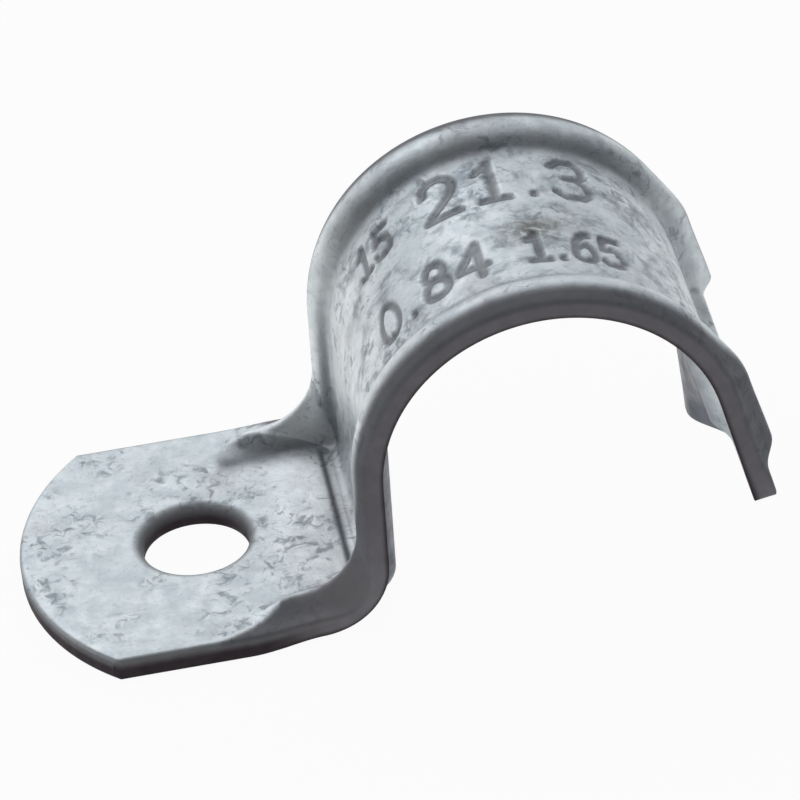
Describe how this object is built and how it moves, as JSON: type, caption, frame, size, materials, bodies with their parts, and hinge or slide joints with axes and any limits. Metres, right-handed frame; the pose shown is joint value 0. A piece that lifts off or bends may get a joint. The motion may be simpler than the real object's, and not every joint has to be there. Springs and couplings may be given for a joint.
{
  "type": "one-hole pipe strap",
  "caption": "Ribbed pressed-steel strap that saddles a half-inch pipe and is held to a surface by a screw through its flat foot.",
  "frame": {"origin": "on the mounting surface, at the centre of the screw hole in the foot", "axes": "+Z out of the mounting surface, Y along the pipe, +X from the screw hole towards the pipe and the free tail"},
  "size_m": [0.0517, 0.0248, 0.0251],
  "materials": {
    "galvanised": "dull, mottled zinc coat, light bluish grey with darker flecks"
  },
  "bodies": {
    "root": {"strap": "galvanised"}
  },
  "joints": []
}
